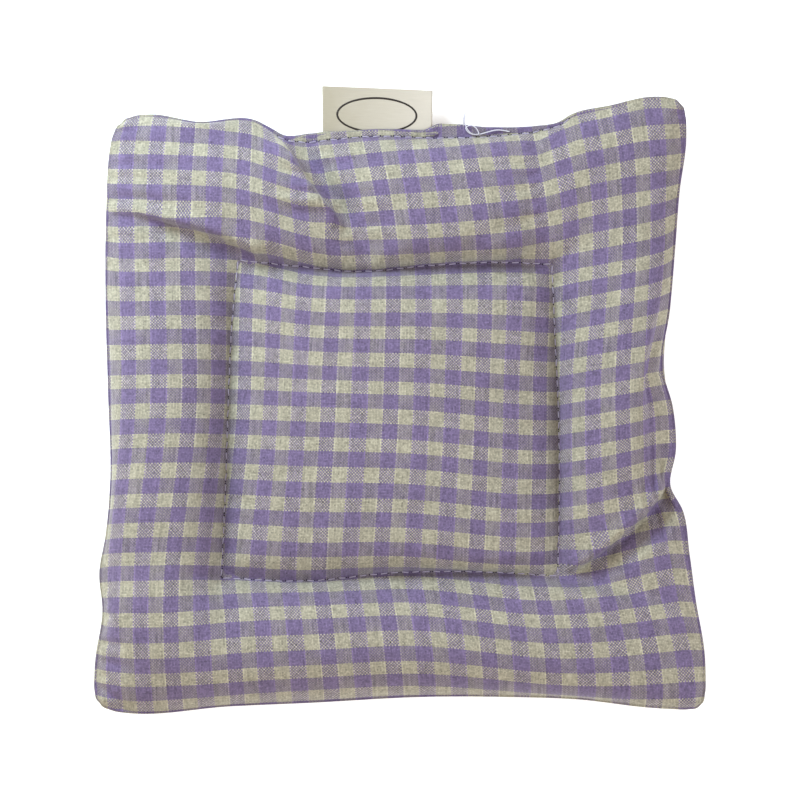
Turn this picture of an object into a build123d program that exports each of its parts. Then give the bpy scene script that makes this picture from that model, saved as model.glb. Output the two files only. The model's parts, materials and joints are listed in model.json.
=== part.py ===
"""Square eye pillow: two gingham cloth panels sewn together round the edge, a quilted square stitched
through the middle, loose grain filling in the ring and in the centre, and a folded cloth label that is
caught in the topstitched closing seam.

Frame: the pillow lies flat on Z = 0 with its front upwards. +Y points to the closing seam and its label,
+X to the right of a person who looks down at the front. The origin is the middle of the footprint.
All sizes are in millimetres.
"""

from build123d import *

import os

# Footprint of the filled pillow, as it lies, and its seam plane
FOOT_HALF_X = 99.5
FOOT_HALF_Y = 101.25
SEAM_Z = 8.0
CLOTH = 0.5  # thickness of one layer of cloth

# Outer corners, and the middles of the outer sides, which the filling draws in
TOP_LEFT = (-92.5, 91.5)
TOP_RIGHT = (92.5, 97.5)
BOTTOM_RIGHT = (FOOT_HALF_X, -FOOT_HALF_Y)
BOTTOM_LEFT = (-FOOT_HALF_X, -98.0)
TOP_MIDDLE = (-2.0, 84.5)
RIGHT_MIDDLE = (88.0, -6.0)
BOTTOM_MIDDLE = (2.0, -96.0)
LEFT_MIDDLE = (-94.5, -6.0)

# Quilted square
QUILT_CENTRE = (-2.5, -6.3)
QUILT_HALF_X = 52.5  # to the stitch line
QUILT_HALF_Y = 51.0
QUILT_BAND = 1.4  # width of cloth that the stitches press flat

# Heights of the crowns above the seam plane, and how far in the underside turns up from the table
RING_CROWN = 12.0
CORNER_CROWN = 10.0
CENTRE_CROWN = 9.0
RING_TURN_UP = 9.0
CENTRE_TURN_UP = 12.0
CROWN_HANDLE = 4 / 3  # a cubic with both handles at 4/3 of a height peaks at that height
HANDLE_INSET = 0.15
SIDE_STATIONS = 7  # sections along each side of the ring

# Filling, which stays clear of the cloth
FILL_GAP = 0.5
FILL_EDGE_GAP = 2.2

# Folded edges of the closing seam, along the top side
FLANGE_START_X = -36.0
FLANGE_END_X = 76.0
FLANGE_DEPTH = 3.4
FLANGE_ROOT = 1.0  # how far a folded edge reaches inside the seam line

# Threads
STITCH_PITCH = 3.4
STITCH_LENGTH = 2.8
STITCH_WIDTH = 0.5
STITCH_HEIGHT = 0.3
CLOSING_ROW_OUTSET = 0.7
SIDE_SEAM_INSET = 0.3
SIDE_STITCH_WIDTH = 0.3
TAIL_CENTRE = (24.0, 88.8)
TAIL_LOOP_RADIUS = 1.5
TAIL_WIRE_RADIUS = 0.2

# Label: a tape folded in two, its ends caught in the closing seam
LABEL_WIDTH = 35.5
LABEL_X = -7.5
LABEL_LAYER = 0.3
LABEL_LAYER_GAP = 0.2
LABEL_TAIL_DEPTH = 2.4
LABEL_HINGE_GAP = 0.5
PRINT_CENTRE_Y = 92.2
PRINT_RADII = (12.8, 5.5)
PRINT_LINE = 0.5
PRINT_THICKNESS = 0.05

PAD_HALF_X = QUILT_HALF_X - QUILT_BAND / 2
PAD_HALF_Y = QUILT_HALF_Y - QUILT_BAND / 2
PAD_PLANE = Plane((*QUILT_CENTRE, 0))


def band_point(side_x, side_y):
    """A point on the outer edge of the pressed band round the quilted square."""
    return (
        QUILT_CENTRE[0] + side_x * (QUILT_HALF_X + QUILT_BAND / 2),
        QUILT_CENTRE[1] + side_y * (QUILT_HALF_Y + QUILT_BAND / 2),
    )


# Stations of the ring, each from the pressed band out to the edge: (inner point, outer point, crown)
CORNERS = [
    (band_point(-1, 1), TOP_LEFT, CORNER_CROWN),
    (band_point(1, 1), TOP_RIGHT, CORNER_CROWN),
    (band_point(1, -1), BOTTOM_RIGHT, CORNER_CROWN),
    (band_point(-1, -1), BOTTOM_LEFT, CORNER_CROWN),
]
MIDDLES = [
    (band_point(0, 1), TOP_MIDDLE, RING_CROWN),
    (band_point(1, 0), RIGHT_MIDDLE, RING_CROWN),
    (band_point(0, -1), BOTTOM_MIDDLE, RING_CROWN),
    (band_point(-1, 0), LEFT_MIDDLE, RING_CROWN),
]


def curved_between(first, middle, last, share):
    """The value at a share of the way along a parabola through three evenly spaced values."""
    bow = 4 * share * (1 - share)
    return first * (1 - share) + last * share + (middle - (first + last) / 2) * bow


def side_stations(first, middle, last):
    """The stations of one side, from corner to corner, their outer points on a smooth hollow curve."""
    stations = []
    for i in range(SIDE_STATIONS):
        share = i / (SIDE_STATIONS - 1)
        inner = tuple(curved_between(*values, share) for values in zip(first[0], middle[0], last[0]))
        outer = tuple(curved_between(*values, share) for values in zip(first[1], middle[1], last[1]))
        stations.append((inner, outer, curved_between(first[2], middle[2], last[2], share)))
    return stations


SIDES = [side_stations(CORNERS[i], MIDDLES[i], CORNERS[(i + 1) % 4]) for i in range(4)]
TOP_SIDE = SIDES[0]


def crown_line(start, end, base, crown):
    """A full, rounded rise from start to end, its highest point the crown above the base."""
    handle = HANDLE_INSET * (end - start)
    height = base + crown * CROWN_HANDLE
    Bezier((start, base), (start + handle, height), (end - handle, height), (end, base))


def underside_line(start, end, base, floor, turn_up):
    """Down from start to the floor, flat along it, and up again to end."""
    Bezier((start, base), (start + turn_up / 4, floor), (start + turn_up, floor))
    Line((start + turn_up, floor), (end - turn_up, floor))
    Bezier((end - turn_up, floor), (end - turn_up / 4, floor), (end, base))


def front_section(plane, start, end, crown):
    """Section of the front panel: one layer of cloth that stands on the seam plane."""
    with BuildLine() as outline:
        crown_line(start, end, SEAM_Z, crown + CLOTH)
        crown_line(start + CLOTH, end - CLOTH, SEAM_Z, crown)
        Line((start, SEAM_Z), (start + CLOTH, SEAM_Z))
        Line((end, SEAM_Z), (end - CLOTH, SEAM_Z))
    with BuildSketch(plane) as section:
        make_face(outline.line)
    return section.sketch


def back_section(plane, start, end, turn_up):
    """Section of the back panel: one layer of cloth below the seam plane, flat where it lies."""
    with BuildLine() as outline:
        underside_line(start, end, SEAM_Z, 0, turn_up)
        underside_line(start + CLOTH, end - CLOTH, SEAM_Z, CLOTH, turn_up)
        Line((start, SEAM_Z), (start + CLOTH, SEAM_Z))
        Line((end, SEAM_Z), (end - CLOTH, SEAM_Z))
    with BuildSketch(plane) as section:
        make_face(outline.line)
    return section.sketch


def filled_section(plane, start, end, crown, floor, turn_up):
    """A whole section, from the underside at the floor up to the crown."""
    with BuildLine() as outline:
        crown_line(start, end, SEAM_Z, crown)
        underside_line(start, end, SEAM_Z, floor, turn_up)
    with BuildSketch(plane) as section:
        make_face(outline.line)
    return section.sketch


def station_plane(station):
    """The upright plane of a station, its own x running outwards and its own y upwards."""
    inner, outer, _ = station
    outwards = Vector(outer[0] - inner[0], outer[1] - inner[1], 0).normalized()
    return Plane((*inner, 0), x_dir=outwards, z_dir=outwards.cross(Vector(0, 0, 1)))


def station_width(station):
    inner, outer, _ = station
    return (Vector(*outer) - Vector(*inner)).length


def ring_front(station):
    return front_section(station_plane(station), 0, station_width(station), station[2])


def ring_back(station):
    return back_section(station_plane(station), 0, station_width(station), RING_TURN_UP)


def ring_filling(station):
    start = FILL_EDGE_GAP
    end = station_width(station) - FILL_EDGE_GAP
    crown = station[2] - FILL_GAP
    floor = CLOTH + FILL_GAP
    return filled_section(station_plane(station), start, end, crown, floor, RING_TURN_UP)


def loft_ring(section):
    """Lofts a section along the four sides of the ring, mitred at the corners."""
    for side in SIDES:
        loft([section(station) for station in side], ruled=True)


def cushion_over_square(inset, crown, floor):
    """A cushion over the quilted square, where a section across it and one along it both hold."""
    half_x = PAD_HALF_X - inset
    half_y = PAD_HALF_Y - inset
    section_across = filled_section(PAD_PLANE * Plane.XZ, -half_x, half_x, crown, floor, CENTRE_TURN_UP)
    section_along = filled_section(PAD_PLANE * Plane.YZ, -half_y, half_y, crown, floor, CENTRE_TURN_UP)
    with BuildPart() as cushion:
        extrude(section_across, amount=half_y, both=True)
        extrude(section_along, amount=half_x, both=True, mode=Mode.INTERSECT)
    return cushion.part


def pressed_band(amount):
    """The strip of cloth round the quilted square that the stitches press flat."""
    with BuildSketch(PAD_PLANE.offset(SEAM_Z)) as band:
        Rectangle(2 * QUILT_HALF_X + QUILT_BAND + 2 * CLOTH, 2 * QUILT_HALF_Y + QUILT_BAND + 2 * CLOTH)
        Rectangle(2 * PAD_HALF_X - 2 * CLOTH, 2 * PAD_HALF_Y - 2 * CLOTH, mode=Mode.SUBTRACT)
    extrude(band.sketch, amount=amount)


def edge_line(side, inset):
    """The outer edge of a side in plan, moved inwards, as a smooth curve through its stations."""
    points = []
    for inner, outer, _ in side:
        inwards = (Vector(*inner) - Vector(*outer)).normalized()
        points.append(Vector(*outer) + inwards * inset)
    return Edge.make_spline(points)


def top_edge_y(x):
    """Where the seam line of the top side lies at x."""
    across = Edge.make_line((x, 0), (x, 2 * FOOT_HALF_Y))
    return edge_line(TOP_SIDE, 0).intersect(across).vertices()[0].Y


FLANGE_XS = (FLANGE_START_X, (FLANGE_START_X + FLANGE_END_X) / 2, FLANGE_END_X)
LABEL_SIDES = (LABEL_X - LABEL_WIDTH / 2, LABEL_X + LABEL_WIDTH / 2)
LABEL_ROOT_Y = max(top_edge_y(x) for x in LABEL_SIDES) + FLANGE_DEPTH
LABEL_HINGE_Y = LABEL_ROOT_Y + LABEL_HINGE_GAP
LABEL_LENGTH = FOOT_HALF_Y - LABEL_HINGE_Y
LABEL_THICKNESS = 2 * LABEL_LAYER + LABEL_LAYER_GAP


def flange(amount):
    """The folded edge of one panel at the closing seam, which stands out past the seam line."""
    with BuildSketch(Plane.XY.offset(SEAM_Z)) as strip:
        with BuildLine():
            root = Spline([(x, top_edge_y(x) - FLANGE_ROOT) for x in FLANGE_XS])
            tip = Spline([(x, top_edge_y(x) + FLANGE_DEPTH) for x in FLANGE_XS])
            Line(root @ 0, tip @ 0)
            Line(root @ 1, tip @ 1)
        make_face()
    extrude(strip.sketch, amount=amount)


def label_end(mode=Mode.ADD):
    """The two ends of the tape, pressed together between the folded edges."""
    with Locations((LABEL_X, LABEL_ROOT_Y - LABEL_TAIL_DEPTH / 2, SEAM_Z)):
        Box(LABEL_WIDTH, LABEL_TAIL_DEPTH, 2 * LABEL_LAYER, mode=mode)


def stitch_row(row, start_z, width, end_gap):
    """A row of stitches along a curve in plan, standing on the plane at start_z."""
    count = int((row.length - 2 * end_gap) // STITCH_PITCH)
    first = (row.length - count * STITCH_PITCH) / 2
    with BuildSketch(Plane.XY.offset(start_z)) as stitches:
        for i in range(count):
            at = (first + STITCH_PITCH * (i + 0.5)) / row.length
            heading = row.tangent_at(at)
            angle = Vector(1, 0, 0).get_signed_angle(heading, Vector(0, 0, 1))
            with Locations(Location(row.position_at(at), (0, 0, angle))):
                SlotOverall(STITCH_LENGTH, width)
    extrude(stitches.sketch, amount=STITCH_HEIGHT)


def quilting_rows(start_z):
    """Stitches along the four sides of the quilted square."""
    corners = [(-1, 1), (1, 1), (1, -1), (-1, -1)]
    centre_x, centre_y = QUILT_CENTRE
    points = [(centre_x + x * QUILT_HALF_X, centre_y + y * QUILT_HALF_Y) for x, y in corners]
    for i in range(4):
        stitch_row(Edge.make_line(points[i], points[(i + 1) % 4]), start_z, STITCH_WIDTH, 0.5)


closing_line = Edge.make_spline([Vector(x, top_edge_y(x) + CLOSING_ROW_OUTSET) for x in FLANGE_XS])
centre_outside = cushion_over_square(0, CENTRE_CROWN + CLOTH, 0)
centre_hollow = cushion_over_square(CLOTH, CENTRE_CROWN, CLOTH)

# Front panel: the upper half of the ring and of the centre, with its folded edge
with BuildPart() as front_panel:
    add(split(centre_outside, Plane.XY.offset(SEAM_Z), keep=Keep.TOP))
    add(centre_hollow, mode=Mode.SUBTRACT)
    loft_ring(ring_front)
    pressed_band(CLOTH)
    flange(2 * CLOTH)
    label_end(Mode.SUBTRACT)

# Back panel: the lower half, which the pillow lies on
with BuildPart() as back_panel:
    add(split(centre_outside, Plane.XY.offset(SEAM_Z), keep=Keep.BOTTOM))
    add(centre_hollow, mode=Mode.SUBTRACT)
    loft_ring(ring_back)
    pressed_band(-CLOTH)
    flange(-2 * CLOTH)
    label_end(Mode.SUBTRACT)

# Filling of the outer ring
with BuildPart() as ring_fill:
    loft_ring(ring_filling)

# Filling of the quilted centre
with BuildPart() as centre_fill:
    add(cushion_over_square(FILL_EDGE_GAP, CENTRE_CROWN - FILL_GAP, CLOTH + FILL_GAP))

# Quilting: the needle's thread on the front, the bobbin's on the back
with BuildPart() as quilting_needle_thread:
    quilting_rows(SEAM_Z + CLOTH)

with BuildPart() as quilting_bobbin_thread:
    quilting_rows(SEAM_Z - CLOTH - STITCH_HEIGHT)

# Topstitching of the closing seam
with BuildPart() as closing_needle_thread:
    stitch_row(closing_line, SEAM_Z + 2 * CLOTH, STITCH_WIDTH, 1.0)

with BuildPart() as closing_bobbin_thread:
    stitch_row(closing_line, SEAM_Z - 2 * CLOTH - STITCH_HEIGHT, STITCH_WIDTH, 1.0)

# Loose end of the closing thread, curled up on the folded edge
with BuildPart() as thread_tail:
    with Locations((*TAIL_CENTRE, SEAM_Z + 2 * CLOTH + TAIL_WIRE_RADIUS)):
        Torus(TAIL_LOOP_RADIUS, TAIL_WIRE_RADIUS)

# Hidden seam that joins the two panels along the left, bottom and right edges
with BuildPart() as side_seam_thread:
    for side in SIDES[1:]:
        stitch_row(edge_line(side, SIDE_SEAM_INSET), SEAM_Z - STITCH_HEIGHT / 2, SIDE_STITCH_WIDTH, 4.0)

# Label: the ends in the seam, and the folded loop that stands out of it
with BuildPart() as label_tail:
    label_end()

with BuildPart() as label_flap:
    with BuildSketch(Plane.YZ.offset(LABEL_X)):
        with Locations((LABEL_HINGE_Y + LABEL_LENGTH / 2, SEAM_Z)):
            Rectangle(LABEL_LENGTH, LABEL_THICKNESS)
            Rectangle(LABEL_LENGTH - 2 * LABEL_LAYER, LABEL_LAYER_GAP, mode=Mode.SUBTRACT)
        with Locations((LABEL_HINGE_Y + LABEL_LAYER / 2, SEAM_Z)):
            Rectangle(LABEL_LAYER, LABEL_LAYER_GAP, mode=Mode.SUBTRACT)
    extrude(amount=LABEL_WIDTH / 2, both=True)
    fold_edges = label_flap.edges().filter_by(Axis.X).group_by(Axis.Y)[-1]
    fillet(fold_edges, radius=0.9 * LABEL_LAYER)

# Thin oval printed on the label, open where it runs under the seam
with BuildPart() as label_print:
    with BuildSketch(Plane.XY.offset(SEAM_Z + LABEL_THICKNESS / 2)):
        with Locations((LABEL_X, PRINT_CENTRE_Y)):
            Ellipse(*PRINT_RADII)
            Ellipse(PRINT_RADII[0] - PRINT_LINE, PRINT_RADII[1] - PRINT_LINE, mode=Mode.SUBTRACT)
        with Locations((LABEL_X, LABEL_HINGE_Y)):
            Rectangle(LABEL_WIDTH, LABEL_LENGTH, align=(Align.CENTER, Align.MIN), mode=Mode.INTERSECT)
    extrude(amount=PRINT_THICKNESS)

pieces = {
    "front_panel": front_panel,
    "back_panel": back_panel,
    "ring_fill": ring_fill,
    "centre_fill": centre_fill,
    "quilting_needle_thread": quilting_needle_thread,
    "quilting_bobbin_thread": quilting_bobbin_thread,
    "closing_needle_thread": closing_needle_thread,
    "closing_bobbin_thread": closing_bobbin_thread,
    "thread_tail": thread_tail,
    "side_seam_thread": side_seam_thread,
    "label_tail": label_tail,
    "label_flap": label_flap,
    "label_print": label_print,
}

os.makedirs("parts", exist_ok=True)
for name, piece in pieces.items():
    piece.part.label = name
    export_step(piece.part, f"parts/{name}.step")
print("label hinge at y", round(LABEL_HINGE_Y, 3), "z", SEAM_Z)
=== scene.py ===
import json
import math

import bpy
import numpy as np
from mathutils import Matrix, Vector
from mathutils.bvhtree import BVHTree


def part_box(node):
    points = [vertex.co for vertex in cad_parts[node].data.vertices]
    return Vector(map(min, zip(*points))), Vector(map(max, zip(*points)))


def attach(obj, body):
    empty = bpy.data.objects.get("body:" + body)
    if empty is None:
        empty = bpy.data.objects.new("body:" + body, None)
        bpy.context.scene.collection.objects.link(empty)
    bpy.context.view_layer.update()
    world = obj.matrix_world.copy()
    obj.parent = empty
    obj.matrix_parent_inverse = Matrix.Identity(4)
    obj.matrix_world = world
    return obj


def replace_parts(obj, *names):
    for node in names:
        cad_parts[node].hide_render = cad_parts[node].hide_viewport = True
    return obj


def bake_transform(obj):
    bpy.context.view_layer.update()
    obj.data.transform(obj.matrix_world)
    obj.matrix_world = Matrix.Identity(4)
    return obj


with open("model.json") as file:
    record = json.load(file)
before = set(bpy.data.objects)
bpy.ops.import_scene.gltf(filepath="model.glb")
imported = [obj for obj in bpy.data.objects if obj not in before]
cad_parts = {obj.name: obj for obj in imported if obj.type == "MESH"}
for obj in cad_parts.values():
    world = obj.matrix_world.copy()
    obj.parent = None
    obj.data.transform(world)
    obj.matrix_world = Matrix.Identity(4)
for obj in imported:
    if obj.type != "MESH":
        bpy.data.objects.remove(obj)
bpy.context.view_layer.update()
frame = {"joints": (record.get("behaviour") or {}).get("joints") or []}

MM = 0.001
HINGE = np.array(frame["joints"][0]["pos_m"]) / MM
SEAM_Z = HINGE[2]
LABEL_LOW, LABEL_HIGH = (np.array(corner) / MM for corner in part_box("label_flap"))

# ---- cloth, in millimetres of the flat panel
# The flat panel is measured from the middle of the quilted square: its left edge, both stitch lines, its
# right edge, and the same from the bottom up. It is cut narrower towards the top, by the share TAPER.
FLAT_X = (-99.0, -54.6, 54.6, 98.0)
FLAT_Y = (-97.4, -51.4, 51.4, 99.4)
TAPER = 0.07
CLOTH = 0.45

# Cells of the grid across the ring and across the square, its last line and the two lines that are stitched.
# After the simulation each cell is divided into REFINE parts each way.
RING_CELLS = 20
QUILT_CELLS = 50
LAST = 2 * RING_CELLS + QUILT_CELLS
QA, QB = RING_CELLS, RING_CELLS + QUILT_CELLS
REFINE = 2

# Seam line round the pillow in plan: points given from corner to corner
LEFT_SEAM = [(-98.6, -99.2), (-98.2, -85), (-95.8, -68), (-96.8, -56), (-94.8, -44), (-93.3, -27), (-94, 3),
             (-94.8, 32), (-94.5, 64), (-93.5, 81), (-91.5, 91)]
RIGHT_SEAM = [(98.6, -100.2), (98, -81), (95.4, -66), (93.2, -50), (91, -36), (86.9, -28), (88.7, -16),
              (87.9, -3), (84.4, 10.5), (86.8, 29), (88.6, 50), (90, 68), (92, 83), (91.8, 97.2)]
BOTTOM_SEAM = [(-98.6, -99.2), (-88, -100.8), (-55, -98.6), (-30, -97.5), (10, -95.5), (36, -95.6),
               (58, -96.4), (80, -99), (98.6, -100.2)]
TOP_SEAM = [(-91.5, 91), (-80, 92), (-66, 89.6), (-46, 89.7), (-42.4, 87.6), (-38, 84.6), (-30, 83.5),
            (-22, 84.3), (-8, 85.4), (12, 84.8), (28, 85.2), (45, 87.1), (51, 88.6), (56, 91.6), (68, 94.5),
            (80, 97.4), (91.8, 97.2)]
# The corners are drawn in by so much, and the points beside them less and less
CORNER_ROUNDING = 2.4
CORNER_REACH = 3
CORNER_FADE = 1.6

# Stitch line of the quilted square in plan
QUILT_LEFT = [(-57.9, -57.6), (-56.6, -30), (-55.6, 0), (-54.4, 25), (-52.4, 45.3)]
QUILT_RIGHT = [(51.1, -57.0), (51.6, -32), (51.2, 0), (50.2, 20), (49.2, 44.0)]
QUILT_BOTTOM = [(-57.9, -57.6), (-32, -58.6), (0, -55.8), (32, -55.8), (51.1, -57.0)]
QUILT_TOP = [(-52.4, 45.3), (-32, 43.2), (-14, 41.6), (10, 43.6), (30, 44.6), (49.2, 44.0)]

# Folds that the loose filling leaves in the front: route in plan, depth, half width. A negative depth is a
# ridge. A fold has its full depth where the filling swells to FOLD_SWELL, and its middle is held in place.
FOLDS = [
    ([(-33, 84), (-23.6, 68.9), (-15.2, 58.2), (-12, 46)], 5.0, 5.5),
    ([(-39.5, 83), (-31, 71), (-23, 61.5)], -2.5, 2.8),
    ([(-83, 57), (-71, 51), (-60, 49.5), (-52, 47)], 6.0, 4.5),
    ([(86, -29), (79.3, -37.2), (64.7, -51.8), (52, -57)], 7.0, 5.5),
    ([(86, 9.7), (79, 7)], 2.5, 4.0),
    ([(44, 85), (45.5, 70), (48, 55), (50, 46)], 3.0, 5.0),
]
FOLD_SWELL = 7.0
FOLD_CORE = 0.5
FOLD_GRIP = 1.4
LEAST_GRIP = 0.02

# Creases where the cloth folds over: route of the upper edge in plan, with the hollow on its right-hand
# side; then the hollow's depth, its distance from the edge, and how far the edge leans over it
CREASES = [
    ([(-18.5, 52.5), (-22.5, 58.5), (-27.2, 63.8), (-32, 70), (-35.6, 76), (-40.5, 84)], 3.8, 2.7, 2.2),
    ([(-84, 60.5), (-76, 59.5), (-68, 57.6), (-58.6, 54.7), (-51.5, 51.8), (-42.7, 47.2)], 3.2, 3.0, 1.6),
    ([(51, -57), (64, -47.5), (77.5, -36), (82.8, -29.8), (87, -24)], 5.0, 3.6, 1.8),
]
# Every crease grows over the first share of its route, fades over the last and keeps clear of the seam
CREASE_GROWTH = 0.2
CREASE_END = 0.08
CREASE_LEAST = 0.15
CREASE_CLEARANCE = 3.0
CREASE_REACH = 8.0
CREASE_FADE = 3.0
# The ridge along its edge: how far back it lies, its half width, and its height as a share of the hollow
RIDGE_BACK = 1.3
RIDGE_WIDTH = 1.9
RIDGE_HEIGHT = 0.34
# How far the cloth is drawn along with the leaning edge, behind it and in the hollow
LEAN_BEHIND = 4.0
LEAN_BELOW = 1.6

# How far the grain lifts the settled front, and how near the stitches and the seam it reaches most of that
RING_SWELL = 3.8
CENTRE_SWELL = 3.8
CENTRE_DOME = 1.0
STEEP_REACH = 5.0
STEEP_POWER = 1.5

# Small relief of the cloth: gathers beside the stitches, the groove of the quilting, and crinkles all over
PUCKER_HEIGHT = 0.22
PUCKER_REACH = 2.5
GROOVE_DEPTH = 0.55
GROOVE_WIDTH = 1.3
CRINKLE_HEIGHT = 0.16
CRINKLE_MARGIN = 6.0

# Heights above the table, and where the seam rises or falls: place in plan, rise, radius
QUILT_Z = 7.0
RING_RISE = 9.0
CENTRE_RISE = 7.0
QUILT_GAP = 0.3
RING_BULGE = 0.7
CENTRE_BULGE = 3
SEAM_LIFTS = [((89, -26), 2.5, 12.0), ((75, 97), 2.0, 25.0), ((-91, 91), -2.0, 15.0),
              ((98, -100), -2.0, 15.0)]
FLOOR_SOFTNESS = 0.5

# Cloth simulation, run at SIM_SCALE times the real size
SIM_SCALE = 10.0
DRAW_FRAMES = 20
SIM_FRAMES = 50
COTTON = dict(
    quality=6, mass=0.15, tension_stiffness=60, compression_stiffness=25, shear_stiffness=6,
    bending_stiffness=10, tension_damping=10, compression_damping=10, bending_damping=1, air_damping=3,
    pin_stiffness=8, use_pressure=True, uniform_pressure_force=60.0,
)

# Gingham: where the lines of FLAT_X and FLAT_Y lie in the weave
WOVEN_X = (-100.3, -57.6, 57.6, 100.3)
WOVEN_Y = (-99.6, -55.4, 55.4, 99.6)
BEYOND = 20
# How far the front's weave is pulled out of line, across and along, at a few places from the bottom row to
# the top row. The values are chosen from how far the render's stripes lay from the photograph's.
DRIFT_X = (-97, -47, -28, 2, 49, 92)
DRIFT_Y = (-92, -47, 7, 58, 99)
WEAVE_DRIFT = [
    [(0.9, 1.6), (3.6, -0.1), (2.8, -0.3), (1.2, -0.5), (-0.6, 3.2), (-2.1, 1.3)],
    [(1.7, 2.1), (4.0, 0.6), (3.9, 0.9), (2.9, 1.3), (1.2, 5.4), (1.7, -1.1)],
    [(-1.2, 0.0), (0.4, -2.4), (1.6, -2.2), (0.6, -1.0), (0.6, 2.7), (1.6, 0.9)],
    [(0.8, -1.6), (2.8, -3.0), (2.4, 0.3), (1.1, 0.4), (-2.0, -0.6), (-0.4, -1.4)],
    [(2.4, -1.2), (7.4, 1.4), (11.6, 3.3), (9.4, 2.6), (6.1, -0.8), (2.8, -1.1)],
]
# Stripes across and along: period, and the middle of one cream stripe. Yarn is cream where the cosine of the
# stripes' turn is over STRIPE_EDGE.
WARP_STRIPES = (10.3, 5.19)
WEFT_STRIPES = (9.75, 0.49)
STRIPE_EDGE = 0.07
YARN = 0.5
WARP_FLOAT = 0.04
# Cream warp over purple weft: the cream that is lost, the least that stays, and how much darker it is.
# CREAM_CLOUD is the unevenness wherever cream and purple cross.
CREAM_LOST = 0.55
CREAM_LEAST = 0.10
WARP_SHADE = 0.28
CREAM_CLOUD = 0.7
# Brightness of the yarns: the base, and the weight of each unevenness
YARN_BASE = 0.20
SLUB = 0.80
FLECK = 0.26
WORN = 0.16
STREAK = 0.35
STREAK_ON_WARP = 0.80
BORDER = 0.40
BORDER_WIDTH = 0.15
CLUSTER = 0.74
CLUSTER_LIGHT = 2.4

# Threads and closing seam
STITCH_PITCH = 3.4
STITCH_LENGTH = 2.5
STITCH_LEAN = 0.16
STITCH_RISE = 0.16
STITCH_DIVE = 0.5
THREAD_RADIUS = 0.2
HOLE_RADIUS = 0.36
QUILTING_LIFT = 0.05
CLOSING_LIFT = 0.08
# How far the folded edge of the closing seam stands out beyond its stitches: place along x, depth
FLANGE = [(-44, 0.0), (-37, 0.8), (-30, 2.2), (-24, 2.3), (-20, 1.8), (-8, 1.6), (8, 1.9), (12, 4.2),
          (20, 3.8), (28, 2.6), (40, 1.6), (52, 0.5), (64, 0.3), (76, 0.0)]
SEWN_FROM, SEWN_TO = -40.0, 56.0
# Where the loose end begins, and its way from there: across, along and height above the cloth
LOOSE_END = (23.5, 87.2)
LOOSE_WAY = [(12, -0.4, 0.3), (8, 0.1, 0.7), (4, -0.8, 0.9), (1.6, -1.4, 0.8), (-1.2, -0.8, 0.9),
             (-2.2, 0.8, 1.0), (-0.6, 1.6, 1.1), (1.3, 0.4, 1.3), (1.9, -1.2, 1.2), (0.2, -1.3, 1.3),
             (-2.4, 1.8, 1.2), (-2.8, 4.2, 0.9)]
FRAY_HAIRS = 7

# Label, from the frame's flap. LABEL_HIDDEN is the part of each end that is sewn into the seam.
LABEL_X = (LABEL_LOW[0] + LABEL_HIGH[0]) / 2 + 0.2
LABEL_WIDTH = LABEL_HIGH[0] - LABEL_LOW[0]
LABEL_TIP = LABEL_HIGH[1] - 0.3
LABEL_THICKNESS = 0.3
LABEL_HIDDEN = 4.0
LABEL_TURN = 0.4
LABEL_SKEW = 1.45
TAPE_YARN = 0.24
OVAL = (12.8, 5.5)
OVAL_MIDDLE = (LABEL_X - 0.2, 92.2)
OVAL_TILT = 0.02
OVAL_LINE = 0.62
OVAL_STEPS = 120
INK_THICKNESS = 0.03

# Colours, linear
PURPLE_YARN = (0.146, 0.109, 0.214, 1)
CREAM_YARN = (0.332, 0.310, 0.240, 1)
TAPE_COLOUR = (0.51, 0.46, 0.40, 1)
# Painted shade on the label tape, darkest at its left end
TAPE_PAINTED_SHADE = (0.34, 0.30, 0.23, 1)
# Threads: a lit colour, and a darker copy that is painted shade in the grooves between the plies
THREAD_LIGHT = (0.46, 0.42, 0.54, 1)
THREAD_PLY_SHADE = (0.22, 0.19, 0.29, 1)
FRAY_LIGHT = (0.60, 0.58, 0.64, 1)
FRAY_PLY_SHADE = (0.46, 0.44, 0.52, 1)
# Painted shade in the needle holes, near black
HOLE_SHADE_DARK = (0.008, 0.006, 0.012, 1)
HOLE_SHADE_PALE = (0.03, 0.02, 0.045, 1)
INK_DARK = (0.012, 0.008, 0.006, 1)
INK_LIGHT = (0.026, 0.019, 0.016, 1)
FLOOR_COLOUR = (0.92, 0.92, 0.92, 1)
FLOOR_BRIGHT = (0.94, 0.94, 0.94, 1)

# The frame's nodes that each panel's pieces stand for
COVER_NODES = {
    "front": ("front_panel", "ring_fill", "centre_fill", "side_seam_thread"),
    "back": ("back_panel",),
}
THREAD_NODES = {"front": "_needle_thread", "back": "_bobbin_thread"}

# Studio, in metres and watts. Each lamp: name, place, size, power, colour.
FLOOR_LEVEL = -0.0002
FLOOR_HALF = 1.5
FLOOR_LINES = 9
LAMPS = [
    ("near", (-0.25, 0.3, 0.26), 0.2, 2.9, (0.72, 0.90, 1.0)),
    ("left", (-0.7, -0.22, 0.45), 0.5, 3.5, (0.97, 1.0, 0.95)),
    ("right", (0.58, -0.15, 0.5), 0.5, 4.6, (0.83, 0.92, 0.99)),
]
WORLD_COLOUR = (1.0, 0.80, 0.63, 1)
WORLD_LIGHT = 0.565
# FLOOR_GLOW is the floor's emission, a painted glow that washes out the shadows on it
FLOOR_GLOW = 0.35
VIEW_WIDTH = 0.2589
VIEW_DISTANCE = 1.5
SENSOR = 36.0


# ---- shape of the filled cloth
def hermite(start, end, start_slope, end_slope, s):
    """The value at share s of a smooth run between two others, with their slopes per run."""
    return (start * (2 * s**3 - 3 * s**2 + 1) + end * (3 * s**2 - 2 * s**3)
            + start_slope * (s**3 - 2 * s**2 + s) + end_slope * (s**3 - s**2))


def bell(distance, width):
    """1 at no distance, falling to nothing beyond about twice the width."""
    return np.exp(-(distance / width) ** 2)


def rise_and_fade(distance, reach):
    """0 at no distance, 1 at the reach, and falling again beyond it."""
    return distance / reach * np.exp(1 - distance / reach)


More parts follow.
